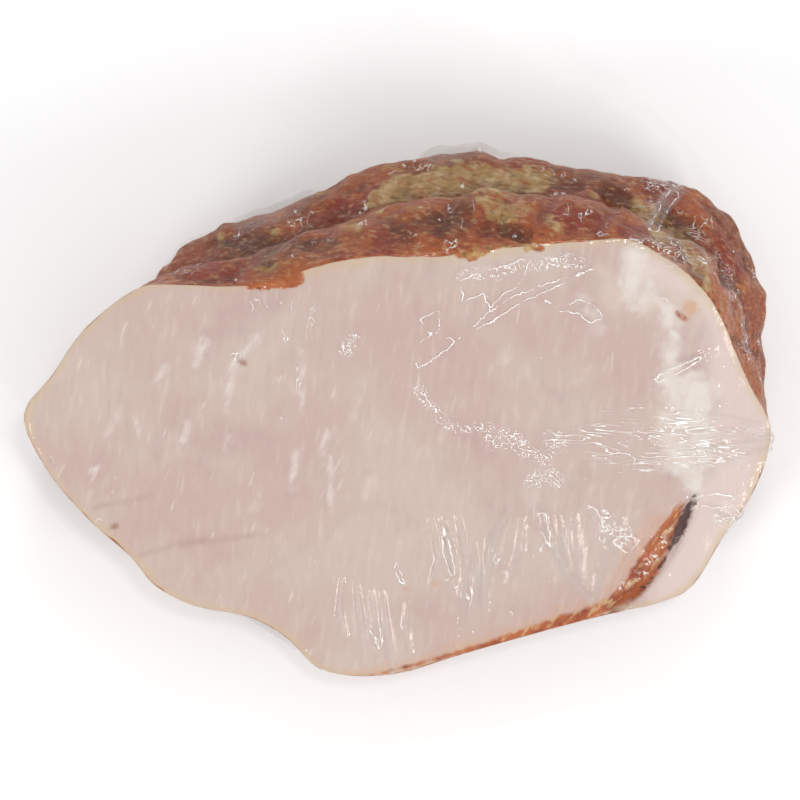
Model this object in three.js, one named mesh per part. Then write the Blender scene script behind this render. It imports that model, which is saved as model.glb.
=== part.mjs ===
// A chunk cut from a smoked boneless ham, in cling film. It lies on its own flattened back, with the
// cut face up and leaning towards the front. Millimetres, +Z up, +Y towards the back, and the origin
// under the middle of the piece, on the surface that it lies on.
import * as THREE from "three";
import { ParametricGeometry } from "three/addons/geometries/ParametricGeometry.js";
import { mergeGeometries } from "three/addons/utils/BufferGeometryUtils.js";

// Cut face
const faceWidth = 259; // left tip to right lobe
const faceDepth = 153; // front to back, seen from above
const faceHeight = 74; // height of the middle of the cut face
const faceTilt = 18; // degrees that the cut face leans towards the front

// Rind: the lumpy smoked outside, which swells into two folds at the back and right
const shoulderFall = 0.2; // share of the way down from the cut edge to the first fold's crest
const grooveFall = 0.42; // and to the groove between the folds
const bellyFall = 0.68; // and to the second fold's crest
const grooveShare = 0.35; // how far the groove has come from the first crest's reach to the second's
const grooveDepth = 8; // cut into the rind at the deepest part of the groove
const deepestBelly = 45; // the reach of the second fold where the groove is deepest
const undersideShare = 0.65; // how much of the second fold's reach is left at the table
const curlFall = 0.4; // where the side starts to curl under
const footRound = 24; // how far it has curled in by the time it lies flat

// Cling film, drawn over the cut face and tucked under all round
const filmThickness = 0.4;
const filmGap = 0.5; // clearance to the meat
const hemHeight = 2.2; // where the film's tucked edge ends above the table

// Fineness
const stepsPerStation = 3;
const wallRings = 13;
const faceRings = 3;
const baseRings = 2;

// Stations round the cut edge, anticlockwise from the right: where each lies, in shares of half the
// face's width and depth from its middle, and how far out the first and second folds reach, in mm.
const stations = [
  [1.0, 0.17, 2, 7],
  [0.95, 0.32, 5, 13],
  [0.9, 0.49, 7, 18],
  [0.85, 0.68, 10, 27],
  [0.78, 0.83, 12, 35],
  [0.69, 0.93, 12, 39],
  [0.61, 1.0, 10, 38],
  [0.5, 0.99, 18, 39],
  [0.3, 0.96, 23, 41],
  [0.11, 0.92, 23, 45],
  [-0.07, 0.92, 15, 36],
  [-0.21, 0.88, 13, 32],
  [-0.3, 0.82, 13, 33],
  [-0.42, 0.79, 13, 31],
  [-0.59, 0.8, 8, 14],
  [-0.69, 0.78, 2, 3],
  [-0.83, 0.6, 1, 4],
  [-0.92, 0.39, 1, 3],
  [-1.0, 0.21, 1, 2],
  [-0.94, -0.04, 1, 1],
  [-0.83, -0.27, 1, 0],
  [-0.72, -0.44, 1, 0],
  [-0.66, -0.57, 1, 1],
  [-0.55, -0.67, 1, 1],
  [-0.4, -0.72, 1, 1],
  [-0.29, -0.83, 1, 0],
  [-0.22, -0.96, 1, 0],
  [-0.1, -1.0, 1, 0],
  [0.02, -0.98, 1, 0],
  [0.15, -0.91, 1, 1],
  [0.33, -0.82, 1, 1],
  [0.5, -0.74, 1, 1],
  [0.62, -0.69, 1, 0],
  [0.7, -0.66, 1, 1],
  [0.8, -0.58, 1, 1],
  [0.88, -0.35, 1, 2],
  [0.95, -0.17, 1, 3],
  [0.99, 0.0, 1, 4],
];

const tilt = THREE.MathUtils.degToRad(faceTilt);
const faceNormal = new THREE.Vector3(0, -Math.sin(tilt), Math.cos(tilt));
const around = stations.length * stepsPerStation;

const closedCurve = (points) => new THREE.CatmullRomCurve3(points, true, "catmullrom", 0.5);
const cutEdge = closedCurve(
  stations.map(([x, y]) => new THREE.Vector3((x * faceWidth) / 2, (y * faceDepth) / 2, 0)),
);
const folds = closedCurve(stations.map(([, , shoulder, belly]) => new THREE.Vector3(shoulder, belly, 0)));

// The height of the cut face's plane at a distance y behind its middle.
const planeHeight = (y) => faceHeight + y * Math.tan(tilt);

// How far the rind stands out of the cut edge: turn is the share of the way round, fall the share of
// the way down to the table.
function reach(turn, fall) {
  const { x: shoulder, y: belly } = folds.getPoint(turn);
  const groove =
    THREE.MathUtils.lerp(shoulder, belly, grooveShare) - grooveDepth * (belly / deepestBelly);
  const profile = new THREE.CubicInterpolant(
    [0, shoulderFall, grooveFall, bellyFall, 1],
    [0, shoulder, groove, belly, belly * undersideShare],
    1,
  );
  const swell = profile.evaluate(THREE.MathUtils.clamp(fall, 0, 1))[0];
  const curl = THREE.MathUtils.clamp((fall - curlFall) / (1 - curlFall), 0, 1);
  return swell - footRound * (1 - Math.sqrt(1 - curl * curl));
}

// A point on the rind.
function rindPoint(turn, fall) {
  const lap = ((turn % 1) + 1) % 1;
  const edge = cutEdge.getPoint(lap);
  const height = planeHeight(edge.y);
  const outward = edge.clone().normalize();
  return edge.addScaledVector(outward, reach(lap, fall)).setZ(height * (1 - fall));
}

// The way the rind faces there.
function rindNormal(turn, fall) {
  const step = 1e-3;
  const along = rindPoint(turn + step, fall).sub(rindPoint(turn - step, fall));
  const top = Math.max(fall - step, 0);
  const bottom = Math.min(fall + step, 1);
  const down = rindPoint(turn, bottom).sub(rindPoint(turn, top));
  return down.cross(along).normalize();
}

// The share of the way down at which the rind is at the height of the film's hem.
const hemFall = (turn) => 1 - hemHeight / rindPoint(turn, 0).z;

// A point on the cut face, at a share of the way from its middle to the cut edge, lifted off it.
function facePoint(turn, share, lift) {
  const edge = rindPoint(turn, 0);
  const point = new THREE.Vector3(edge.x * share, edge.y * share, 0);
  return point.setZ(planeHeight(point.y)).addScaledVector(faceNormal, lift);
}

// A point on the rind, at a share of the way from the cut edge to the film's hem, lifted off it. At
// the cut edge it is lifted off both surfaces.
function wallPoint(turn, share, lift) {
  const fall = share * hemFall(turn);
  const point = rindPoint(turn, fall).addScaledVector(rindNormal(turn, fall), lift);
  return share === 0 ? point.addScaledVector(faceNormal, lift) : point;
}

// The rings from the middle of the cut face out to the cut edge and down to the hem.
function skin(lift) {
  const rings = [];
  for (let i = 0; i < faceRings; i++) rings.push((turn) => facePoint(turn, i / faceRings, lift));
  for (let i = 0; i <= wallRings; i++) rings.push((turn) => wallPoint(turn, i / wallRings, lift));
  return rings;
}

// The flat that the meat lies on, from its rim to its middle.
function base() {
  return Array.from({ length: baseRings + 1 }, (_, i) => (turn) => {
    const foot = rindPoint(turn, 1);
    return foot.multiplyScalar(1 - i / baseRings).setZ(0);
  });
}

// A skin through rings, each a function of the share of the way round. The rings are walked
// clockwise, so that the skin faces out.
function loft(rings) {
  const last = rings.length - 1;
  const place = (turn, along, target) => target.copy(rings[Math.round(along * last)]((1 - turn) % 1));
  return new ParametricGeometry(place, around, last);
}

// Makes a skin face the other way, with its facets as they are.
function turnedOver(geometry) {
  geometry.index.array.reverse();
  return geometry;
}

const hamMaterial = new THREE.MeshStandardMaterial({ color: 0xd9bcae, roughness: 0.5, metalness: 0 });
const filmMaterial = new THREE.MeshStandardMaterial({
  color: 0xf4f6f8,
  roughness: 0.12,
  metalness: 0,
  transparent: true,
  opacity: 0.15,
});

const meat = new THREE.Mesh(loft([...skin(0), ...base()]), hamMaterial);
meat.name = "ham";

// The film's inside has the meat's own facets, so that the gap between them is even.
const filmOutside = skin(filmGap + filmThickness);
const filmInside = skin(filmGap);
const filmSkins = [
  loft(filmOutside),
  loft([filmOutside.at(-1), filmInside.at(-1)]),
  turnedOver(loft(filmInside)),
];
const film = new THREE.Mesh(mergeGeometries(filmSkins), filmMaterial);
film.name = "cling_film";

const piece = new THREE.Group();
piece.add(meat, film);

// Puts the origin under the middle of the piece.
const middle = new THREE.Box3().setFromObject(piece, true).getCenter(new THREE.Vector3());
piece.position.set(-middle.x, -middle.y, 0);

const ham = new THREE.Group();
ham.add(piece);
export default ham;
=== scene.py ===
# A chunk of smoked ham in cling film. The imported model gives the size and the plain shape; the meat and
# the film are shaped on it here, in millimetres, and scaled to metres as their meshes are made.
import math
import bpy
import numpy as np
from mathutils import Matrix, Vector, noise
from mathutils.bvhtree import BVHTree


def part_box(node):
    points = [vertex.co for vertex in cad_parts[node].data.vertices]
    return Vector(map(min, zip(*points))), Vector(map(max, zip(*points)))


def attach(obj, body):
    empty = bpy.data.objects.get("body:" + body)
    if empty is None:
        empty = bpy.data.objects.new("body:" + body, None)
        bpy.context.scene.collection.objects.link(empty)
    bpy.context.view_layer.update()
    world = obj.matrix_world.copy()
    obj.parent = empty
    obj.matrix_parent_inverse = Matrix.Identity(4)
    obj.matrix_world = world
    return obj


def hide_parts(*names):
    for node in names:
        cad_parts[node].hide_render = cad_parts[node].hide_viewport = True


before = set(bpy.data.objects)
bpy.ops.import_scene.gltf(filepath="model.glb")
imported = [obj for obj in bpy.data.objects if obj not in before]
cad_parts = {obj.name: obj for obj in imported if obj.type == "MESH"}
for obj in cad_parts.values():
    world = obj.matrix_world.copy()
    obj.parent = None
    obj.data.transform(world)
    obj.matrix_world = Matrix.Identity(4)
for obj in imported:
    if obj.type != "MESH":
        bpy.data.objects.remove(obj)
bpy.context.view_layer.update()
toMetres = 0.001


# Small tools for shapes.

def smoothStep(value, low, high):
    share = np.clip((value - low) / (high - low), 0, 1)
    return share * share * (3 - 2 * share)


# Blurs a grid of rings. Its first axis runs across the rings, and its second round them.
def blur(grid, around, across):
    for sigma, axis, mode in ((around, 1, "wrap"), (across, 0, "edge")):
        if sigma <= 0:
            continue
        reach = int(3 * sigma) + 1
        weights = np.exp(-0.5 * (np.arange(-reach, reach + 1) / sigma) ** 2)
        weights /= weights.sum()
        margin = [(0, 0)] * grid.ndim
        margin[axis] = (reach, reach)
        padded = np.pad(grid, margin, mode=mode)
        count = grid.shape[axis]
        grid = sum(w * padded.take(range(k, k + count), axis=axis) for k, w in enumerate(weights))
    return grid


# Soft noise, about -1 to 1, with lumps of that many millimetres.
def lumps(points, size, seed, detail=2):
    spots = points.reshape(-1, 3) / size + seed * 17.3
    values = [noise.fractal(spot, 1.0, 2.0, detail) for spot in spots.tolist()]
    return np.array(values).reshape(points.shape[:-1])


# How far each point is inside the nearest stroke, seen from above, and below zero outside them all.
# A stroke is a row of (x, y, half width).
def insideStrokes(points, strokes):
    flat = points[..., :2]
    best = np.full(flat.shape[:-1], -40.0)
    for stroke in strokes:
        ends = np.array(stroke if len(stroke) > 1 else stroke * 2, float)
        for a, b in zip(ends[:-1], ends[1:]):
            along = b[:2] - a[:2]
            share = np.clip(((flat - a[:2]) @ along) / max(along @ along, 1e-6), 0, 1)
            gap = np.linalg.norm(flat - a[:2] - share[..., None] * along, axis=-1)
            best = np.maximum(best, a[2] + (b[2] - a[2]) * share - gap)
    return best


# The same for closed outlines, each a row of (x, y).
def insideOutlines(points, outlines):
    flat = points[..., :2]
    best = np.full(flat.shape[:-1], -40.0)
    for outline in outlines:
        corners = [(x, y, 0) for x, y in outline]
        closed = corners + corners[:1]
        gap = -insideStrokes(points, [closed])
        within = np.zeros(flat.shape[:-1], bool)
        for (ax, ay, _), (bx, by, _) in zip(closed[:-1], closed[1:]):
            spans = (ay > flat[..., 1]) != (by > flat[..., 1])
            crossing = ax + (flat[..., 1] - ay) * (bx - ax) / (by - ay if by != ay else 1e-9)
            within ^= spans & (flat[..., 0] < crossing)
        best = np.maximum(best, np.where(within, gap, -gap))
    return best


# The way each point of a grid of rings faces.
def facing(grid):
    sideways = np.roll(grid, -1, axis=1) - np.roll(grid, 1, axis=1)
    normal = np.cross(np.gradient(grid, axis=0), sideways)
    return normal / np.maximum(np.linalg.norm(normal, axis=-1, keepdims=True), 1e-9)


# A mesh through a grid of rings, with a fan in the first one, and in the last one too if it is closed.
# The painted values go with it as attributes.
def ringMesh(name, grid, paint, closed):
    rings, around = grid.shape[:2]
    ring = np.arange(around)
    following = (ring + 1) % around
    faces = []
    for j in range(rings - 1):
        a, b = j * around + ring, j * around + following
        faces += np.stack([a, a + around, b + around, b], axis=1).tolist()
    middles = [grid[0].mean(axis=0)]
    faces += np.stack([np.full(around, rings * around), ring, following], axis=1).tolist()
    if closed:
        last = (rings - 1) * around
        middles.append(grid[-1].mean(axis=0))
        fan = [np.full(around, rings * around + 1), last + following, last + ring]
        faces += np.stack(fan, axis=1).tolist()
    mesh = bpy.data.meshes.new(name)
    points = np.concatenate([grid.reshape(-1, 3), middles]) * toMetres
    mesh.from_pydata(points.tolist(), [], faces)
    mesh.polygons.foreach_set("use_smooth", [True] * len(mesh.polygons))
    for label, values in paint.items():
        ends = [values[0].mean(), values[-1].mean()][: len(middles)]
        layer = mesh.attributes.new(label, "FLOAT", "POINT")
        layer.data.foreach_set("value", np.concatenate([values.ravel(), ends]).astype(np.float32))
    mesh.update()
    piece = bpy.data.objects.new(name, mesh)
    bpy.context.scene.collection.objects.link(piece)
    return piece


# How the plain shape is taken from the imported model.
meatSteps = {
    "around": 560,  # points in a ring
    "face": 94,  # rings in the cut face
    "wall": 62,  # and down the side
    "base": 5,
    "probes": 64,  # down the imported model's side
    "probeCurve": 1.6,  # brings the probes closer together towards the foot
    "deepestProbe": 0.998,  # share of the way down, so as not to run along the base
    "middleShare": 0.405,  # where the middle of the cut face lies, front to back
    "facetBlur": 2.8,  # steps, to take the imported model's facets away
    "sharpShare": 0.06,  # share of the way down from the cut edge that is blurred less
    "swellBlur": 8,  # steps
    "footLift": 0.45,  # the meat lies on the film, and the film on the table
}

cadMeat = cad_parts["ham"].data
cadPoints = [v.co / toMetres for v in cadMeat.vertices]
cadTree = BVHTree.FromPolygons(cadPoints, [p.vertices for p in cadMeat.polygons])
meatLow, meatHigh = (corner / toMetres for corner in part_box("ham"))
middle = Vector((0, meatLow.y + meatSteps["middleShare"] * (meatHigh.y - meatLow.y), 0))
skyHeight = 3 * meatHigh.z
farReach = 2 * meatHigh.x


def topAt(x, y):
    return cadTree.ray_cast(Vector((x, y, skyHeight)), Vector((0, 0, -1)))[0]


faceSlope = (topAt(0, middle.y + 30).z - topAt(0, middle.y - 30).z) / 60
faceHeight = topAt(0, middle.y).z
faceNormal = np.array([0, -faceSlope, 1]) / math.hypot(faceSlope, 1)


def planeHeight(y):
    return faceHeight + (y - middle.y) * faceSlope


# How far the cut edge is from the middle, in one direction.
def edgeReach(direction):
    near, far = 0.0, farReach
    for _ in range(14):
        reach = (near + far) / 2
        spot = middle + direction * reach
        hit = topAt(spot.x, spot.y)
        onFace = hit and abs(hit.z - planeHeight(spot.y)) < 0.15
        near, far = (reach, far) if onFace else (near, reach)
    return near


# How far the side is from the middle, in one direction and at one height.
def wallReach(direction, height):
    start = middle + direction * farReach
    hit = cadTree.ray_cast(Vector((start.x, start.y, height)), -direction)[0]
    return math.hypot(hit.x - middle.x, hit.y - middle.y)


def compass(angle):
    return Vector((math.cos(angle), math.sin(angle), 0))


# Directions that are evenly spaced along the cut edge.
def evenDirections():
    fine = np.linspace(0, 2 * math.pi, 721)
    reach = np.array([edgeReach(compass(angle)) for angle in fine])
    corners = np.stack([np.cos(fine), np.sin(fine)], axis=1) * reach[:, None]
    walked = np.concatenate([[0], np.cumsum(np.linalg.norm(np.diff(corners, axis=0), axis=1))])
    return np.interp(np.arange(meatSteps["around"]) / meatSteps["around"] * walked[-1], walked, fine)


# The grid of rings from the middle of the cut face, over the edge, down the side and under, and how
# far each point is in from the cut edge: below zero on the rind.
def plainMeat():
    angles = evenDirections()
    ways = [compass(angle) for angle in angles]
    edge = blur(np.array([[edgeReach(way) for way in ways]]), 1.2, 0)[0]
    tops = planeHeight(middle.y + edge * np.sin(angles))
    falls = 1 - (1 - np.linspace(0, 1, meatSteps["probes"])) ** meatSteps["probeCurve"]
    probed = []
    for fall in np.minimum(falls[1:], meatSteps["deepestProbe"]):
        probed.append([wallReach(way, top * (1 - fall)) for way, top in zip(ways, tops)])
    sharp = np.concatenate([edge[None, :], probed])
    keep = smoothStep(falls, 0, meatSteps["sharpShare"])[:, None]
    sides = sharp * (1 - keep) + blur(sharp, meatSteps["facetBlur"], 0.8) * keep
    heights = np.maximum(tops * (1 - falls[:, None]), meatSteps["footLift"])
    # even steps down the side
    shares = np.linspace(0, 1, meatSteps["wall"] + 1)
    wallReaches = np.zeros((len(shares), len(angles)))
    wallHeights = np.zeros_like(wallReaches)
    for i in range(len(angles)):
        walked = np.concatenate([[0], np.cumsum(np.hypot(np.diff(sides[:, i]), np.diff(heights[:, i])))])
        wallReaches[:, i] = np.interp(shares * walked[-1], walked, sides[:, i])
        wallHeights[:, i] = np.interp(shares * walked[-1], walked, heights[:, i])
    faceShares = np.arange(1, meatSteps["face"] + 1) / (meatSteps["face"] + 0.5)
    faceReaches = faceShares[:, None] * edge
    baseShares = 1 - np.arange(1, meatSteps["base"] + 1) / (meatSteps["base"] + 1)
    baseReaches = baseShares[:, None] * wallReaches[-1]
    reaches = np.concatenate([faceReaches, wallReaches, baseReaches])
    x = middle.x + reaches * np.cos(angles)
    y = middle.y + reaches * np.sin(angles)
    faceHeights = planeHeight(y[: meatSteps["face"]])
    z = np.concatenate([faceHeights, wallHeights, np.full_like(baseReaches, meatSteps["footLift"])])
    fallen = -np.hypot(wallReaches - edge, tops - wallHeights)
    under = np.repeat(fallen[-1:], meatSteps["base"], axis=0)
    inward = np.concatenate([edge - faceReaches, fallen, under])
    # how far the side swells out beyond the cut edge
    swell = blur((wallReaches - edge).max(axis=0)[None, :], meatSteps["swellBlur"], 0)[0]
    return np.stack([x, y, z], axis=-1), inward, swell


plain, inward, swell = plainMeat()
wallEnd = meatSteps["face"] + meatSteps["wall"] + 1
print("plain shape probed:", plain.shape)


# The meat. Places are (x, y, half width) in millimetres, as seen from above.
meatShape = {
    "edgeRound": 1.3,  # how far the cut edge is worn down
    "wornReach": 1.6,  # and how far in from it
    "faceWaves": [(34, 0.55, 1), (11, 0.16, 2)],  # size, height and seed
    "rindLumps": [(30, 1.6, 3), (13, 1.0, 4), (5.5, 0.45, 5)],
    "rindWrinkles": [(19, 2.0, 6), (8, 1.2, 7)],  # with sharp valleys
    "wrinkleMean": 0.4,  # taken off, so that wrinkles don't make the rind fatter
    "wornSide": 1.6,  # how far the side is worn in where the rind doesn't swell
    "plainShare": 0.2,  # share of the lumps that it keeps there
    "foldDepth": 3.4,  # where the loose lobe's skin folds into the face
    "fold": [[(102, -29, 0.5), (99.5, -35, 1.5), (97, -40, 1.5), (94.5, -47, 1.6), (89, -56, 1.3),
              (82, -63, 1), (75, -70, 1)]],
    "foldBank": [[(95.5, -33, 1.5), (90, -42, 3.5), (85.5, -52, 3.8), (79, -62, 3.4), (72, -69, 2.5)]],
    "bankDepth": 1.1,
    # depth of each dent in the rind, and where it is
    "dents": [
        (1.0, [(-74, 60, 5), (-69, 65, 5)]),
        (1.4, [(-58, 70, 4), (-40, 76, 5), (-24, 80, 3)]),
        (3.0, [(74, 78, 2.5), (81, 74, 2.5)]),
        (2.4, [(102, 87, 4), (113, 77, 6), (124, 63, 6), (130, 48, 4)]),
        (2.4, [(35, 64, 1.6), (42, 61, 1.8)]),
        (1.5, [(16, 71, 2), (12, 62, 1.6)]),
        (1.6, [(33, 74, 2), (28, 63, 1.4)]),
        (1.8, [(52, 75, 2.4), (48, 67, 1.6)]),
        (1.6, [(74, 73, 2), (70, 66, 1.6)]),
        (1.5, [(-25, 63, 2), (-33, 58, 1.4)]),
        (2.0, [(95, 73, 1.2), (97, 62, 1.2), (102, 50, 1)]),
        (2.0, [(111, 60, 1.2), (113, 45, 1.2)]),
        (2.2, [(116, 26, 1.2), (125, 22, 1.2)]),
    ],
}

# Strokes of each thing that the material paints.
meatPaint = {
    "fat": [
        [(78, 53, 4), (80, 47, 5), (80, 40, 4.5)],
        [(86, 40, 1.5), (92, 33, 2.6), (92, 22, 2.6), (93, 11, 4), (99, 5, 8.5), (99, -6, 9),
         (99, -14, 8), (102, -22, 4), (103, -28, 1.5)],
        [(62, 38, 1), (68, 30, 1)],
    ],
    "lobe": [
        [(106, 38, 5), (113, 16, 7), (119, 0, 9), (119, -15, 9), (113, -33, 9), (103, -48, 7.5),
         (91, -63, 6)],
        [(86, 50, 5), (97, 45, 5)],
    ],
    "wisp": [
        [(-71, 16.5, 0.8), (-67.5, 25, 1.4)],
        [(-54.5, 20, 0.6), (-50, 25.5, 1.2)],
        [(-57.5, 17, 1.2), (-59.5, 9, 0.9), (-61, 0.5, 0.5)],
        [(-36.4, -13.4, 0.9), (-38.5, -26, 0.6)],
        [(-25.5, -6.5, 0.6), (-28, -13.5, 0.8)],
        [(-24.8, -15, 0.5), (-24.8, -31.5, 0.4)],
        [(-74, -3.5, 1), (-76, -9.5, 0.8)],
        [(-34, 21, 0.4), (-34.5, 0.5, 0.4)],
        [(-92, -2, 0.8), (-91, -8, 0.5)],
        [(-85, 11, 0.6), (-81, 16, 0.8)],
        [(-108, -20, 1), (-105, -19, 0.6)],
    ],
    "grainLine": [
        [(-106.5, -33, 0.6), (-87.5, -28.8, 0.5)],
        [(-92, -50, 0.7), (-78.5, -46, 0.9), (-49.5, -42.5, 0.5)],
    ],
    "cream": [
        [(69, 48, 3), (73, 38, 4)],
        [(94, 6, 4), (91, -3, 4), (94, -14, 3)],
        [(86, 36, 3), (100, 38, 5)],
    ],
    "spot": [
        [(98.5, 36, 2.6)],
        [(1, -62, 0.6)],
        [(12.5, -60, 0.8)],
    ],
    "mark": [
        [(-55.5, 17.5, 0.9), (-54, 17, 0.7)],
        [(-101, -40, 0.9), (-99.5, -39.5, 0.7)],
    ],
    "skin": [  # smoked skin that shows in the face: the fold's bank and the front edge
        [(97.5, -32, 1), (93.5, -40.5, 2.8), (89.5, -48, 4.2), (85.5, -55.5, 4.4), (80.5, -62.5, 3.6),
         (75, -67, 2.6), (66, -70.5, 2.1), (57, -73.3, 2.2), (48, -76.3, 1.9), (38, -79.5, 1.5),
         (22, -84.5, 0.9), (2, -90, 0.4), (-16, -94.5, 0)],
        [(94.5, 34.2, 0.9), (97.5, 32.4, 0.7)],
    ],
    "blush": [
        [(72, -68, 3), (60, -71, 3.5), (48, -75, 3.5), (36, -79, 3), (20, -84, 2.2), (0, -90, 1.8),
         (-18, -94, 1.4)],
        [(90, -40, 5), (83, -52, 6), (77, -62, 5)],
    ],
    "crust": [  # rind that comes in over the cut edge
        [(-62, 45.5, 1), (-54, 46, 3.2), (-44, 46, 3.8), (-37, 46.5, 3.4)],
        [(20, 54.5, 1.6), (25, 53, 1.5), (29, 55.5, 1)],
        [(43, 56.5, 1.4), (47, 56, 1.2)],
    ],
    "shade": [
        [(102, -30, 0.6), (100, -34.5, 1.5), (98, -39.5, 1.6), (95.6, -45, 1.3), (93.6, -49, 0.6),
         (89.5, -56.5, 0.3), (84, -63, 0.3), (78, -68, 0.2)],
    ],
    "ochre": [
        [(-9, 74, 3), (0, 80, 5), (20, 84, 6.5), (35, 82, 5.5), (51, 83, 4)],
        [(84.5, 75, 3.2), (87, 69, 3)],
        [(94.5, 71, 1.2), (97.5, 64.5, 1.8), (100.5, 57.5, 2.2), (103.5, 50.5, 2.6), (105, 44, 2.2)],
        [(-44, 65.5, 1.7), (-47, 61, 1)],
        [(-65, 64, 0.9), (-64, 60, 1)],
        [(-22, 65, 1), (-17, 64.5, 2)],
        [(30, 73, 3.6), (36, 69, 4), (42, 72, 2.5)],
        [(50, 67, 2.2), (55, 62, 1)],
        [(88, 64, 2.2), (91, 60, 2.2)],
        [(110, 17, 2), (108, 24, 1.5)],
        [(30, 57, 1.5), (22, 54, 1.2), (44, 57, 1.2)],
    ],
    # dark rind, partly real and partly painted shade in the groove between the folds and in the dents
    "darkAndShade": [
        [(0, 63, 3.5), (13, 65, 4.5), (21, 70, 3)],
        [(56, 82, 4), (70, 83, 4), (79, 77, 3)],
        [(-62, 60, 3), (-50, 59, 3), (-36, 58, 4), (-24, 58, 2)],
        [(94, 60, 1.5), (96, 54, 2)],
        [(35, 64, 1.4), (40, 62, 1.6)],
        [(98, 50, 1), (101, 46, 1.2)],
    ],
    "orange": [
        [(112, 33, 4), (119, 18, 6), (125, 4, 5.5), (129, -8, 4)],
        [(104, 52, 3.5), (112, 40, 4)],
        [(-30, 56, 3), (-12, 58, 3)],
        [(-100, 40, 3), (-80, 45, 3)],
    ],
    "red": [
        [(-86, 46, 2.5), (-72, 50, 4.5), (-58, 49, 3.5)],
        [(-22, 71, 4), (-9, 77, 3)],
        [(-22, 55, 2.5), (-6, 57, 3)],
        [(54, 69, 3.5), (66, 65, 4.5)],
        [(73, 64, 2), (83, 60, 3)],
        [(40, 88, 3)],
        [(88, 82, 4), (98, 80, 3)],
        [(114, 64, 3), (119, 52, 3.5)],
    ],
}


def shapeMeat():
    normal = facing(plain)
    onFace = smoothStep(inward, -0.5, 0.5)
    face = sum(height * lumps(plain, size, seed) for size, height, seed in meatShape["faceWaves"])
    face -= meatShape["edgeRound"] * np.exp(-np.maximum(inward, 0) / meatShape["wornReach"]) * 0.6
    face -= meatShape["foldDepth"] * smoothStep(insideStrokes(plain, meatShape["fold"]), -1.6, 1.2)
    face -= meatShape["bankDepth"] * smoothStep(insideStrokes(plain, meatShape["foldBank"]), -2.5, 2.5)
    rind = sum(height * lumps(plain, size, seed) for size, height, seed in meatShape["rindLumps"])
    rind += sum(height * (np.abs(lumps(plain, size, seed, 1)) - meatShape["wrinkleMean"])
                for size, height, seed in meatShape["rindWrinkles"])
    # it swells at the back and the right only, and is worn in elsewhere
    room = meatShape["plainShare"] + (1 - meatShape["plainShare"]) * smoothStep(swell, 2, 14)
    rind = (rind * room - meatShape["wornSide"] * (1 - room)) * smoothStep(-inward, 0, 9)
    belowEdge = smoothStep(-inward, 0.5, 4)
    for depth, stroke in meatShape["dents"]:
        inDent = smoothStep(insideStrokes(plain, [stroke]), -2.2, stroke[0][2] * 0.7)
        rind -= depth * inDent * belowEdge
    rind *= smoothStep(plain[..., 2], 1, 14)  # it lies flat
    rind -= meatShape["edgeRound"] * np.exp(np.minimum(inward, 0) / 2) * 0.5
    rind[wallEnd - 1:] = 0
    face[wallEnd - 1:] = 0
    shaped = plain + normal * (rind * (1 - onFace))[..., None] + faceNormal * (face * onFace)[..., None]
    shaped[..., 2] = np.maximum(shaped[..., 2], meatSteps["footLift"])
    return shaped


shaped = shapeMeat()
painted = {label: insideStrokes(plain, strokes) for label, strokes in meatPaint.items()}
painted["inward"] = inward
# how hollow each point is, which the rind's painted shade and painted light follow
painted["hollow"] = ((blur(shaped, 5, 4) - shaped) * facing(shaped)).sum(axis=-1)
meat = ringMesh("ham_meat", shaped, painted, True)
print("meat shaped")


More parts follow.
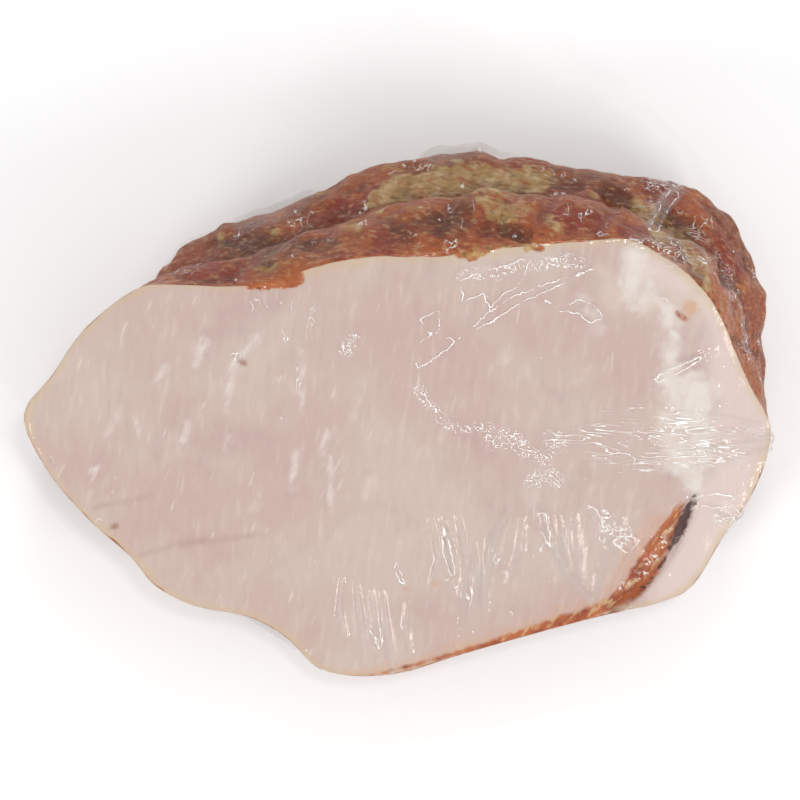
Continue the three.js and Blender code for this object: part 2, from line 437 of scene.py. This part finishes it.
# The cling film.
filmShape = {
    "clearance": 0.3,
    "passes": 320,  # of pulling tight
    "mostLift": 2.2,  # over small hollows
    # how far it stands off over hollows at the back and the front, and where
    "standOffs": [
        (2.6, [(-57, 66, 2), (-45, 70, 4), (-33, 76, 2)]),
        (1.4, [(-86, 55, 2), (-74, 62, 3)]),
        (3.0, [(12, 91, 3), (24, 94, 4), (35, 94, 3)]),
        (3.0, [(-50, -70, 3), (-41, -75, 4), (-34, -81, 2)]),
    ],
    # outlines of the air pockets, as (x, y)
    "airPockets": [
        [(20, 45), (21, 38.5), (27.5, 41), (30, 36), (34, 40.5), (40.5, 44), (44, 53), (33.5, 50), (26, 48)],
        [(6, 32), (9, 28), (18.5, 25), (15, 21.5), (5.5, 15.5), (4.5, 23.5), (13, 28.5), (12.5, 35.5)],
        [(18.5, 25), (31.5, 32), (39.5, 37.5), (54, 44), (65.5, 49.5), (54, 46), (38, 40), (29.5, 34.5)],
        [(49, 38.5), (52.5, 37.5), (57.5, 37.5), (59.5, 39), (65, 37.5), (69, 33), (64, 31), (60, 34.5),
         (54, 35)],
        [(69.5, -14.5), (73, -17), (75, -20.5), (80, -20), (81, -15.5), (76, -13.5)],
        [(14, -38), (16.5, -45), (18.5, -56), (17, -56.5), (14.2, -48.5)],
        [(47.5, -34), (49.5, -43), (52.5, -49), (51.5, -42), (50, -35)],
        [(64, -32), (68, -37), (69, -44), (71, -46), (70, -38), (67, -33)],
        [(73.5, -44.5), (76, -47), (79, -48.5), (83, -44.5), (80.5, -42.5), (77, -43)],
        [(84, 62), (90, 70), (96, 79), (98.5, 77), (92.5, 68.5), (87, 61)],
        [(86, 12), (96, 17), (107, 21.5), (98, 15.5), (89, 11)],
        [(100, -29.5), (108, -28), (116, -29), (112, -33), (104, -32)],
        [(-2, -52), (0, -56), (1, -60), (-1, -59), (-2.5, -55)],
    ],
    "tuck": [4, 10, 17],  # how far in under the meat each tucked ring lies
    "tuckHeight": 0.14,
    "creaseHeight": 1.5,
    "pocketHeight": 0.25,
    # raised creases, as (x, y, half width)
    "creases": [
        [(14, -37, 0.4), (16.5, -46, 1.2), (18, -56, 0.5)],
        [(19.5, -36, 0.5), (22.5, -51, 1.3), (21.5, -66, 1.1), (21, -80, 0.4)],
        [(24.5, -45, 0.6), (26.5, -57, 1.3), (25.5, -68, 0.8)],
        [(29.5, -50, 0.6), (28.5, -62, 1.2), (29, -70, 0.5)],
        [(37, -33, 0.5), (31.5, -45, 1.8), (29, -60, 1.2)],
        [(42, -36, 0.4), (41, -48, 1.3), (37, -60, 0.5)],
        [(48, -34, 0.4), (51, -44, 1.2), (58, -56, 1.5), (66, -66, 1)],
        [(54, -35, 0.4), (56, -44, 1.1), (59, -54, 0.5)],
        [(60, -35, 0.4), (61, -48, 1.3), (63, -58, 0.5)],
        [(69, -36, 0.4), (73, -47, 1.5), (69, -58, 1.3), (66.5, -67, 0.8)],
        [(76, -36, 0.4), (80, -48, 1.1), (74, -62, 0.5)],
        [(10, -37, 0.4), (13, -51, 0.9), (10, -60, 0.4)],
        [(-16, -60, 0.4), (-15, -70, 1.2), (-13, -84, 0.5)],
        [(-10.5, -62, 0.4), (-9, -74, 1.2), (-8, -86, 0.5)],
        [(-7, -62, 0.4), (-5.5, -76, 1.1), (-3, -91, 0.9)],
        [(-21, -58, 0.3), (-22, -70, 0.9), (-20, -80, 0.4)],
        [(2, -66, 0.3), (1, -76, 0.8), (3, -86, 0.4)],
        [(-53, 42, 0.2), (-56, 36, 0)],
        [(-48, 42, 0.2), (-50.5, 35, 0)],
        [(-42, 42, 0.3), (-38, 33, 0)],
        [(-39, 43, 0.2), (-34, 35, 0)],
        [(84, 63, 1.2), (90, 71, 1.8), (96, 79, 1.6)],
        [(87, 62, 0.8), (93, 70, 1.2), (100, 78, 0.9)],
        [(78, 60, 0.5), (88, 57, 1), (102, 50, 0.8)],
        [(80, 57, 0.5), (90, 52, 0.9), (104, 45, 0.6)],
        [(76, 56, 0.4), (86, 60, 0.8), (104, 56, 0.7)],
        [(128, -9, 1.5), (115, -11, 1.2), (100, -13, 0.8), (86, -11, 0.4)],
        [(128, -8, 1.2), (112, -6, 1), (92, -6, 0.7), (76, -7, 0.3)],
        [(127, -12, 1.2), (112, -17, 1), (96, -20, 0.6)],
        [(124, -4, 0.8), (105, 0, 0.8), (90, 1, 0.4)],
        [(88, 14, 0.5), (97, 18, 1), (107, 22, 0.5)],
        [(106, -31, 0.5), (114, -37, 1.2), (122, -33, 0.8)],
    ],
}

# Where the film is streaked, pleated or crinkled, seen from above.
filmPaint = {
    "streaks": [
        [(52, -9, 3), (66, -9, 7), (84, -8, 11), (104, -10, 9), (122, -10, 5)],
        [(80, 58, 2), (94, 54, 5), (108, 52, 4)],
        [(84, 68, 2), (96, 80, 3)],
        [(102, 62, 2), (112, 48, 3.5), (120, 20, 3.5)],
    ],
    "pleats": [
        [(45, -37, 2), (58, -41, 4.5), (70, -42, 4.5)],
        [(16, -42, 2), (20, -58, 4), (26, -70, 4)],
        [(32, -40, 2), (36, -54, 3)],
        [(-12, -70, 2.5), (-6, -82, 3)],
        [(-54, 38, 2.5), (-38, 38, 3)],
        [(-36, 8, 1), (-30, 36, 2)],
    ],
    "crinkles": [
        [(5, 8, 1.8), (10, 2, 2), (15, -4, 1.9), (22, -6, 1.8), (28, -5, 2.8), (33, -8, 4.2),
         (38, -9, 3.6), (43, -13, 2), (50, -15, 2.8), (54, -9, 2.8)],
        [(-20, 22, 2.6), (-16, 26, 1.8)],
        [(45, -23, 3), (54, -23, 3.5)],
        [(70, -36, 3), (77, -43, 3.5)],
        [(94, -40, 0.8), (88, -51, 1.2), (80, -62, 1)],
        [(113, -36, 4.5)],
        [(88, 82, 3), (97, 80, 3)],
        [(20, 47, 1.5), (42, 50, 2.5), (60, 52, 2)],
    ],
}


# Pulls the film tight over the meat, so that it stands off wherever the meat is hollow.
def drapeFilm():
    under = shaped[:wallEnd]
    away = facing(blur(under, 6, 5))
    lift = np.full(under.shape[:2], filmShape["clearance"])
    for _ in range(filmShape["passes"]):
        sheet = under + away * lift[..., None]
        mean = (np.roll(sheet, 1, axis=1) + np.roll(sheet, -1, axis=1)) / 4
        mean[1:-1] += (sheet[2:] + sheet[:-2]) / 4
        mean[0] *= 2
        mean[-1] *= 2
        wanted = ((mean - under) * away).sum(axis=-1)
        lift = np.clip(wanted, filmShape["clearance"], filmShape["mostLift"])
    lift = np.maximum(blur(lift, 0.8, 0.8), filmShape["clearance"])
    standing = np.zeros_like(lift)
    for height, stroke in filmShape["standOffs"]:
        standing = np.maximum(standing, height * smoothStep(insideStrokes(under, [stroke]), -7, 2))
    standing *= smoothStep(-inward[:wallEnd], 4, 14)
    lift = np.maximum(lift, standing)
    crease = smoothStep(insideStrokes(under, filmShape["creases"]), -1.4, 1.6)
    lift = lift + crease * filmShape["creaseHeight"]
    pocket = insideOutlines(under, filmShape["airPockets"])
    lift = lift + filmShape["pocketHeight"] * smoothStep(pocket, -0.5, 1)
    sheet = under + away * lift[..., None]
    sheet[..., 2] = np.maximum(sheet[..., 2], filmShape["tuckHeight"])
    tucked = []
    foot = sheet[-1]
    toMiddle = foot[:, :2] - np.array(middle[:2])
    reach = np.linalg.norm(toMiddle, axis=1, keepdims=True)
    for inset in filmShape["tuck"]:
        spot = np.array(middle[:2]) + toMiddle * (1 - inset / reach)
        tucked.append(np.concatenate([spot, np.full_like(reach, filmShape["tuckHeight"])], axis=1))
    values = {"standing": standing, "crease": crease, "pocket": pocket, "overRind": -inward[:wallEnd]}
    for label, strokes in filmPaint.items():
        values[label] = insideStrokes(under, strokes)
    for label, value in values.items():
        values[label] = np.concatenate([value, np.repeat(value[-1:], len(tucked), axis=0)])
    return np.concatenate([sheet, tucked]), values


filmGrid, filmValues = drapeFilm()
film = ringMesh("cling_film_wrap", filmGrid, filmValues, False)
print("film drawn tight, standing off by up to", round(float(filmValues["standing"].max()), 1), "mm")


# Small tools for materials.

# A colour as a screen shows it, turned into the linear one that a shader takes.
def shade(red, green, blue):
    parts = [part / 255 for part in (red, green, blue)]
    linear = [((part + 0.055) / 1.055) ** 2.4 if part > 0.04 else part / 12.92 for part in parts]
    return (*linear, 1)


def grey(value):
    return (value, value, value, 1)


def addNode(tree, kind, sockets=None, **settings):
    made = tree.nodes.new("ShaderNode" + kind)
    for key, value in settings.items():
        setattr(made, key, value)
    for key, value in (sockets or {}).items():
        if isinstance(value, bpy.types.NodeSocket):
            tree.links.new(value, made.inputs[key])
        else:
            made.inputs[key].default_value = value
    return made


def sums(tree, operation, a, b=0.0, clamp=False):
    return addNode(tree, "Math", {0: a, 1: b}, operation=operation, use_clamp=clamp).outputs[0]


def multiplyAdd(tree, value, factor, added):
    return addNode(tree, "Math", {0: value, 1: factor, 2: added}, operation="MULTIPLY_ADD").outputs[0]


def spread(tree, value, low, high, least=0.0, most=1.0):
    sockets = {"Value": value, "From Min": low, "From Max": high, "To Min": least, "To Max": most}
    return addNode(tree, "MapRange", sockets, interpolation_type="SMOOTHSTEP").outputs["Result"]


def blend(tree, share, a, b):
    return addNode(tree, "Mix", {0: share, 6: a, 7: b}, data_type="RGBA").outputs[2]


def mixNumbers(tree, share, a, b):
    return addNode(tree, "Mix", {0: share, 2: a, 3: b}, data_type="FLOAT").outputs[0]


def paintedValue(tree, label):
    return addNode(tree, "Attribute", attribute_name=label).outputs["Fac"]


def newGroup(name, inputs, outputs):
    tree = bpy.data.node_groups.new(name, "ShaderNodeTree")
    for label, kind, value in inputs:
        socket = tree.interface.new_socket(label, in_out="INPUT", socket_type="NodeSocket" + kind)
        socket.default_value = value
    for label, kind in outputs:
        tree.interface.new_socket(label, in_out="OUTPUT", socket_type="NodeSocket" + kind)
    start = tree.nodes.new("NodeGroupInput")
    end = tree.nodes.new("NodeGroupOutput")
    return tree, start.outputs, end.inputs


def useGroup(tree, group, sockets):
    return addNode(tree, "Group", sockets, node_tree=group).outputs


# Noise of a size given in millimetres, about -1 to 1. It can be stretched along a direction.
def makeGrain():
    tree, given, result = newGroup("grain", [
        ("Size", "Float", 5), ("Stretch", "Vector", (1, 1, 1)), ("Turn", "Float", 0),
        ("Seed", "Float", 0), ("Detail", "Float", 3),
    ], [("Value", "Float")])
    place = addNode(tree, "TexCoord").outputs["Object"]
    turn = {"Vector": place, "Angle": given["Turn"]}
    turned = addNode(tree, "VectorRotate", turn, rotation_type="Z_AXIS").outputs[0]
    scale = sums(tree, "DIVIDE", 1 / toMetres, given["Size"])
    scaled = addNode(tree, "VectorMath", {0: turned, "Scale": scale}, operation="SCALE").outputs[0]
    stretched = addNode(tree, "VectorMath", {0: scaled, 1: given["Stretch"]}, operation="DIVIDE").outputs[0]
    moved = addNode(tree, "VectorMath", {0: stretched, 1: given["Seed"]}, operation="ADD").outputs[0]
    wave = addNode(tree, "TexNoise", {"Vector": moved, "Scale": 1, "Detail": given["Detail"]}).outputs[0]
    # the noise is about 0.3 to 0.7
    tree.links.new(multiplyAdd(tree, wave, 5, -2.5), result["Value"])
    return tree


# A mask from a painted distance, with an edge that is as soft and as ragged as asked.
def makeRaggedEdge():
    tree, given, result = newGroup("raggedEdge", [
        ("Inside", "Float", 0), ("Softness", "Float", 1), ("Wander", "Float", 1), ("Size", "Float", 4),
        ("Seed", "Float", 0),
    ], [("Mask", "Float")])
    wave = useGroup(tree, grain, {"Size": given["Size"], "Seed": given["Seed"], "Detail": 4.0})["Value"]
    moved = multiplyAdd(tree, wave, given["Wander"], given["Inside"])
    low = sums(tree, "MULTIPLY", given["Softness"], -1)
    tree.links.new(spread(tree, moved, low, given["Softness"]), result["Mask"])
    return tree


# A thin line where a distance passes through zero.
def makeThinLine():
    inputs = [("Distance", "Float", 0), ("Width", "Float", 0.3)]
    tree, given, result = newGroup("thinLine", inputs, [("Mask", "Float")])
    off = sums(tree, "ABSOLUTE", given["Distance"])
    near = sums(tree, "MULTIPLY", given["Width"], 0.35)
    tree.links.new(spread(tree, off, near, given["Width"], 1, 0), result["Mask"])
    return tree


grain = makeGrain()
raggedEdge = makeRaggedEdge()
thinLine = makeThinLine()


def noiseIn(tree, size, seed, stretch, turn, detail):
    sockets = {"Size": size, "Seed": seed, "Stretch": stretch, "Turn": turn, "Detail": detail}
    return useGroup(tree, grain, sockets)["Value"]


# A mask of the painted things with that label.
def maskIn(tree, label, softness, wander, size, seed):
    sockets = {"Inside": paintedValue(tree, label), "Softness": softness, "Wander": wander, "Size": size,
               "Seed": seed}
    return useGroup(tree, raggedEdge, sockets)["Mask"]


def newMaterial(name):
    material = bpy.data.materials.new(name)
    material.use_nodes = True
    tree = material.node_tree
    return material, tree, tree.nodes["Principled BSDF"]


# The meat's material.
meatLook = {
    # cut face
    "pink": shade(187, 163, 155),
    "beige": shade(193, 175, 165),
    "rose": shade(174, 145, 140),
    "fibre": shade(214, 200, 190),
    "wisp": shade(222, 214, 206),
    "grainLine": shade(168, 138, 130),
    "lobe": shade(212, 194, 188),
    "fat": shade(212, 203, 196),
    "cream": shade(206, 190, 176),
    "mark": shade(140, 102, 84),
    "blush": shade(196, 142, 106),
    # its edge and the fold
    "rim": shade(196, 172, 134),
    "tan": shade(200, 168, 124),
    "skin": shade(172, 96, 56),
    "skinRed": shade(136, 62, 40),
    "shade": shade(62, 34, 35),
    # rind
    "rind": shade(142, 64, 36),
    "rindDark": shade(98, 50, 30),
    "orange": shade(172, 92, 48),
    "ochre": shade(164, 128, 70),
    "pale": shade(204, 176, 130),
    "red": shade(134, 42, 26),
    # dark brown, also used as painted shade in the rind's hollows, groove and dents
    "darkAndShade": shade(74, 38, 22),
    # gloss and relief, with heights in millimetres
    "ior": 1.3,
    "faceRoughness": 0.42,
    "rindRoughness": 0.36,
    "faceGrain": 0.05,
    "rindGrain": 0.42,
    "rindLumps": 0.35,
    "bumpStrength": 0.9,
}


def makeMeatMaterial():
    material, tree, shader = newMaterial("hamMeat")
    look = meatLook

    def noiseOf(size, seed, stretch=(1, 1, 1), turn=0.0, detail=3.0):
        return noiseIn(tree, size, seed, stretch, turn, detail)

    def maskOf(label, softness, wander, size, seed):
        return maskIn(tree, label, softness, wander, size, seed)

    # lays a colour over what is there, wherever the noise is between two values
    def dapple(under, wave, low, high, label, most=1.0):
        return blend(tree, spread(tree, wave, low, high, 0, most), under, look[label])

    # lays a colour over what is there, by a mask
    def layOver(under, mask, strength, label):
        return blend(tree, sums(tree, "MULTIPLY", mask, strength), under, look[label])

    # lean meat, with its fibres leaning at the left and upright elsewhere
    colour = dapple(look["pink"], noiseOf(42, 1.0), -0.8, 0.8, "beige")
    colour = dapple(colour, noiseOf(24, 2.0), 0.0, 1.1, "rose", 0.42)
    fine = noiseOf(4.5, 3.0, (0.5, 3.2, 1), 0.12, 5.0)
    colour = dapple(colour, fine, 0.1, 1.5, "fibre", 0.35)
    colour = dapple(colour, fine, -0.1, -1.5, "rose", 0.3)
    place = addNode(tree, "TexCoord").outputs["Object"]
    x = addNode(tree, "SeparateXYZ", {0: place}).outputs["X"]
    leftSide = spread(tree, x, 0.01, -0.03)
    leaning = spread(tree, noiseOf(5, 4.0, (0.42, 3.4, 1), 0.42, 4.0), 0.75, 1.15)
    upright = spread(tree, noiseOf(5.5, 5.0, (0.4, 4.5, 1), 0.06, 4.0), 0.8, 1.3)
    colour = layOver(colour, mixNumbers(tree, leftSide, upright, leaning), 0.48, "fibre")
    colour = dapple(colour, noiseOf(13, 6.0, (0.8, 1.6, 1), 0.5, 5.0), 0.65, 1.5, "fibre", 0.5)
    frayed = spread(tree, noiseOf(3.2, 6.4, (0.5, 2.4, 1), 0.42, 5.0), -0.9, 0.7, 0.1, 0.75)
    colour = layOver(colour, maskOf("wisp", 1.5, 0.6, 5.0, 6.2), frayed, "wisp")
    colour = layOver(colour, maskOf("grainLine", 1.4, 0.5, 3.0, 6.3), 0.5, "grainLine")
    # the paler lobe, the fat seam and small marks
    colour = layOver(colour, maskOf("lobe", 4.0, 3.0, 12.0, 6.5), 0.7, "lobe")
    colour = layOver(colour, maskOf("cream", 3.5, 2.0, 6.0, 8.0), 0.5, "cream")
    patchy = spread(tree, noiseOf(6, 7.5, (1, 2, 1), 0.1, 4.0), -1.4, 0.4, 0.35, 1)
    fat = sums(tree, "MULTIPLY", maskOf("fat", 3.0, 2.4, 5.0, 7.0), patchy)
    colour = blend(tree, fat, colour, dapple(look["fat"], noiseOf(7, 9.0), 0.0, 1.2, "cream", 0.8))
    colour = layOver(colour, maskOf("spot", 1.6, 0.9, 2.0, 10.0), 0.55, "blush")
    colour = layOver(colour, maskOf("mark", 1.1, 0.4, 2.0, 10.5), 0.8, "mark")
    # the cured rim, then the smoked skin that shows in the face
    inside = paintedValue(tree, "inward")
    rim = spread(tree, multiplyAdd(tree, noiseOf(14, 11.0), 1.2, inside), 4.5, 0.2)
    colour = layOver(colour, rim, 0.5, "rim")
    colour = layOver(colour, maskOf("blush", 3.0, 1.5, 6.0, 11.5), 0.36, "blush")
    skin = dapple(look["skin"], noiseOf(6, 12.0, (1.4, 1, 1), -0.9, 4.0), -0.4, 0.9, "skinRed")
    skin = dapple(skin, noiseOf(3, 12.5, (2.4, 0.8, 1), -1.0, 4.0), 0.1, 0.8, "tan", 0.75)
    colour = blend(tree, maskOf("skin", 0.9, 0.5, 3.0, 13.0), colour, skin)

    # rind
    hollow = paintedValue(tree, "hollow")
    rind = dapple(look["rind"], noiseOf(20, 20.0), -0.6, 0.9, "rindDark")
    rind = dapple(rind, noiseOf(14, 23.0, detail=5.0), 0.4, 0.8, "red", 0.8)
    rind = dapple(rind, noiseOf(10, 21.0, detail=6.0), 0.25, 0.8, "orange", 0.9)
    rind = dapple(rind, noiseOf(15, 22.0, (1.6, 1, 0.8), 0.4, 6.0), 0.6, 0.95, "ochre", 0.85)
    rind = layOver(rind, spread(tree, inside, -10, -2), 0.75, "orange")
    # painted light: the rind's crests lighter and more orange
    rind = dapple(rind, hollow, -0.15, -1.0, "orange", 0.45)
    rind = layOver(rind, maskOf("red", 1.2, 3.0, 6.0, 24.0), 0.75, "red")
    rind = layOver(rind, maskOf("orange", 1.2, 2.4, 6.0, 24.5), 0.8, "orange")
    ochre = dapple(look["ochre"], noiseOf(4, 26.0, detail=6.0), -0.5, 1.0, "pale", 0.9)
    ochre = dapple(ochre, noiseOf(6, 26.5, (1, 0.6, 1), 0.5, 6.0), 0.1, 0.9, "orange", 0.8)
    ochreMask = sums(tree, "MULTIPLY", maskOf("ochre", 0.9, 2.2, 4.0, 25.0), 0.85)
    rind = blend(tree, ochreMask, rind, ochre)
    # dark patches, partly real dark rind and partly painted shade in the groove between the folds and in the
    # dents
    rind = layOver(rind, maskOf("darkAndShade", 1.4, 2.8, 5.0, 27.0), 0.5, "darkAndShade")
    # painted shade: the rind darker in its hollows
    rind = dapple(rind, hollow, 0.15, 1.3, "darkAndShade", 0.42)
    # wrinkled skin, flecks of fat and pits
    wrinkles = noiseOf(1.9, 27.5, (1.5, 0.9, 1), 0.3, 5.0)
    rind = dapple(rind, wrinkles, 0.1, 1.0, "pale", 0.38)
    rind = dapple(rind, wrinkles, -0.1, -1.0, "darkAndShade", 0.5)
    rind = dapple(rind, noiseOf(2.8, 28.0, (2.6, 0.8, 0.8), 0.3, 5.0), 0.9, 1.5, "pale", 0.55)
    rind = dapple(rind, noiseOf(2.4, 29.0, detail=4.0), -0.8, -1.5, "darkAndShade", 0.6)

    # the rind starts at the ragged cut edge, and comes in over it in places
    outside = sums(tree, "MULTIPLY", inside, -1)
    edge = {"Inside": outside, "Softness": 0.4, "Wander": 0.75, "Size": 8.0, "Seed": 30.0}
    onRind = useGroup(tree, raggedEdge, edge)["Mask"]
    onRind = sums(tree, "MAXIMUM", onRind, maskOf("crust", 0.5, 0.9, 4.0, 30.5))
    colour = blend(tree, onRind, colour, rind)
    # painted shade in the gap where the loose lobe's skin folds into the face
    colour = layOver(colour, maskOf("shade", 0.6, 0.6, 2.4, 31.0), 0.92, "shade")
    tree.links.new(colour, shader.inputs["Base Color"])

    roughness = blend(tree, onRind, grey(look["faceRoughness"]), grey(look["rindRoughness"]))
    roughness = multiplyAdd(tree, noiseOf(3, 32.0), 0.08, roughness)
    tree.links.new(roughness, shader.inputs["Roughness"])

    faceRelief = sums(tree, "MULTIPLY", fine, look["faceGrain"])
    rindGrain = sums(tree, "MULTIPLY", noiseOf(2.4, 33.0, (1.7, 0.9, 1), 0.3, 6.0), look["rindGrain"])
    rindLumps = sums(tree, "MULTIPLY", noiseOf(7, 34.0, detail=4.0), look["rindLumps"])
    relief = mixNumbers(tree, onRind, faceRelief, sums(tree, "ADD", rindGrain, rindLumps))
    bump = {"Height": relief, "Distance": toMetres, "Strength": look["bumpStrength"]}
    tree.links.new(addNode(tree, "Bump", bump).outputs[0], shader.inputs["Normal"])
    shader.inputs["IOR"].default_value = look["ior"]
    return material


# The film's material. It is clear but for its gloss, its white lines, which are painted glints, and a haze
# where it stands off.
filmLook = {
    "glint": shade(255, 254, 252),
    "haze": shade(200, 190, 184),
    "ior": 1.55,
    "mostGloss": 0.042,
    "lineStrength": 0.85,
    "standingHaze": 0.26,
    "creaseHaze": 0.3,
}


def makeFilmMaterial():
    material, tree, shader = newMaterial("clearFilm")
    look = filmLook

    def noiseOf(size, seed, stretch=(1, 1, 1), turn=0.0, detail=2.0):
        return noiseIn(tree, size, seed, stretch, turn, detail)

    def within(label, softness, wander, size, seed):
        return maskIn(tree, label, softness, wander, size, seed)

    def times(a, b):
        return sums(tree, "MULTIPLY", a, b)

    def lineAt(distance, width):
        return useGroup(tree, thinLine, {"Distance": distance, "Width": width})["Mask"]

    # nested thin lines: the value is folded up and down, and a line is drawn wherever it passes a half
    def rowsOf(value, count, width):
        folded = sums(tree, "PINGPONG", times(value, count), 1)
        return lineAt(sums(tree, "SUBTRACT", folded, 0.5), width)

    # painted highlights, as white lines: first on the edges of the air pockets
    jitter = sums(tree, "ADD", times(noiseOf(2.6, 40.0), 0.4), times(noiseOf(1.0, 41.0), 0.16))
    lines = lineAt(sums(tree, "ADD", paintedValue(tree, "pocket"), jitter), 0.2)
    lines = times(lines, spread(tree, noiseOf(6, 42.0), -0.7, 0.2))
    # long thin loops where the film is drawn tight
    streaks = rowsOf(noiseOf(4.6, 43.0, (7.0, 1, 1), 0.1), 2.4, 0.13)
    streaks = times(streaks, within("streaks", 3.5, 2.0, 9.0, 44.0))
    streaks = times(streaks, spread(tree, noiseOf(6, 45.0, (3, 1, 1)), -0.9, 0.5))
    # narrow upright ones
    pleats = rowsOf(noiseOf(4.2, 43.5, (1, 5.0, 1), -0.12), 1.6, 0.1)
    pleats = times(pleats, within("pleats", 2.5, 2.0, 8.0, 44.5))
    pleats = times(pleats, spread(tree, noiseOf(5, 45.5, (1, 2, 1)), -0.2, 0.8))
    # small crinkles
    crinkles = rowsOf(noiseOf(3.4, 46.0, (1.3, 0.8, 1), 0.6, 3.0), 1.3, 0.14)
    crinkles = times(crinkles, within("crinkles", 1.5, 1.5, 5.0, 47.0))
    crinkles = times(crinkles, spread(tree, noiseOf(4, 47.5), -1.1, -0.2))
    # scattered painted glints, more of them over the rind
    stray = rowsOf(noiseOf(8, 48.0, (1, 1.8, 3.2), 0.1, 4.0), 1.2, 0.05)
    rare = spread(tree, paintedValue(tree, "overRind"), -1, 4, 0.75, 0.32)
    chance = sums(tree, "SUBTRACT", noiseOf(9, 49.0, (1, 1, 2.2), detail=3.0), rare)
    stray = times(stray, spread(tree, chance, 0, 0.3, 0, 0.8))
    for kind in (streaks, pleats, crinkles, stray):
        lines = sums(tree, "MAXIMUM", lines, kind)

    haze = spread(tree, paintedValue(tree, "standing"), 0.5, 3.5, 0, look["standingHaze"])
    haze = times(haze, spread(tree, noiseOf(8, 50.0, (2.5, 1, 1), 0.3, 4.0), -1.2, 1.0, 0.6, 1.2))
    creaseHaze = spread(tree, paintedValue(tree, "crease"), 0.05, 1, 0, look["creaseHaze"])
    haze = sums(tree, "MAXIMUM", haze, creaseHaze)

    # relief: slight everywhere, and more where the film is streaked, crinkled or pleated
    streaked = times(noiseOf(3.0, 52.0, (4.0, 1, 1), 0.08, 3.0), within("streaks", 4.0, 2.0, 9.0, 53.0))
    crinkled = times(noiseOf(2.0, 54.0, detail=4.0), within("crinkles", 2.0, 2.0, 5.0, 55.0))
    pleated = times(noiseOf(3.4, 56.0, (1, 5.0, 1), -0.12), within("pleats", 3.0, 2.0, 8.0, 57.0))
    relief = times(noiseOf(4.5, 51.0, detail=3.0), 0.06)
    for kind, height in ((streaked, 0.16), (crinkled, 0.12), (pleated, 0.14)):
        relief = sums(tree, "ADD", relief, times(kind, height))
    bump = addNode(tree, "Bump", {"Height": relief, "Distance": toMetres, "Strength": 1.0}).outputs[0]
    tree.links.new(bump, shader.inputs["Normal"])

    # clear film only shows its gloss; its lines are painted highlights, and they and its haze are dull and
    # white
    gloss = addNode(tree, "Fresnel", {"IOR": look["ior"], "Normal": bump}).outputs[0]
    gloss = sums(tree, "MINIMUM", gloss, look["mostGloss"])
    solid = sums(tree, "MAXIMUM", times(lines, look["lineStrength"]), haze)
    alpha = sums(tree, "MAXIMUM", gloss, solid, clamp=True)
    metallic = sums(tree, "SUBTRACT", 1.0, spread(tree, solid, 0.04, 0.14), clamp=True)
    colour = blend(tree, spread(tree, lines, 0.1, 0.6), look["haze"], look["glint"])
    tree.links.new(alpha, shader.inputs["Alpha"])
    tree.links.new(metallic, shader.inputs["Metallic"])
    tree.links.new(colour, shader.inputs["Base Color"])
    tree.links.new(spread(tree, lines, 0, 1, 0.1, 0.35), shader.inputs["Roughness"])
    return material


meat.data.materials.append(makeMeatMaterial())
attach(meat, "root")
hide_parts("ham")

film.data.materials.append(makeFilmMaterial())
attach(film, "root")
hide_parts("cling_film")
print("materials made")


# The table, the light and the camera, in metres.
studio = {
    "tableSize": 6,
    "tableColour": (0.93, 0.93, 0.93, 1),
    "tableRoughness": 0.6,
    "room": 0.64,  # strength of the light from all round
    # place, size across and strength of each lamp
    "lamps": [
        ("softKey", (-0.85, -0.75, 0.95), 0.45, 6.0),
        ("fill", (0.85, -0.6, 1.0), 0.4, 4.0),
        ("back", (0.1, 0.9, 1.2), 0.5, 3.5),
        ("glintTop", (0.10, 0.12, 1.5), 0.10, 2.2),
        ("glintRight", (0.70, -0.70, 0.85), 0.08, 1.2),
        ("glintNear", (0.45, -0.80, 1.0), 0.05, 0.7),
    ],
    "lampAim": (0, 0, 0.05),
    "cameraPlace": (-0.0007, 0.0045, 1.3),  # straight above
    "lens": 159,
    "sensor": 36,
}


def makeTable():
    bpy.ops.mesh.primitive_plane_add(size=studio["tableSize"])
    table = bpy.context.object
    table.name = "table"
    material, tree, shader = newMaterial("paleTable")
    shader.inputs["Base Color"].default_value = studio["tableColour"]
    wave = useGroup(tree, grain, {"Size": 30.0})["Value"]
    roughness = multiplyAdd(tree, wave, 0.03, studio["tableRoughness"])
    tree.links.new(roughness, shader.inputs["Roughness"])
    table.data.materials.append(material)


def makeLights():
    world = bpy.data.worlds.new("room")
    bpy.context.scene.world = world
    world.use_nodes = True
    background = world.node_tree.nodes["Background"]
    background.inputs["Color"].default_value = grey(1.0)
    background.inputs["Strength"].default_value = studio["room"]
    for name, place, size, power in studio["lamps"]:
        light = bpy.data.lights.new(name, "AREA")
        light.shape = "DISK"
        light.size = size
        light.energy = power
        lamp = bpy.data.objects.new(name, light)
        lamp.location = place
        way = Vector(studio["lampAim"]) - Vector(place)
        lamp.rotation_euler = way.to_track_quat("-Z", "Y").to_euler()
        bpy.context.scene.collection.objects.link(lamp)


def makeCamera():
    camera = bpy.data.objects.new("camera", bpy.data.cameras.new("camera"))
    camera.location = studio["cameraPlace"]
    camera.data.lens = studio["lens"]
    camera.data.sensor_width = studio["sensor"]
    bpy.context.scene.collection.objects.link(camera)
    bpy.context.scene.camera = camera


makeTable()
makeLights()
makeCamera()
bpy.context.scene.view_settings.view_transform = "Standard"
print("studio set")
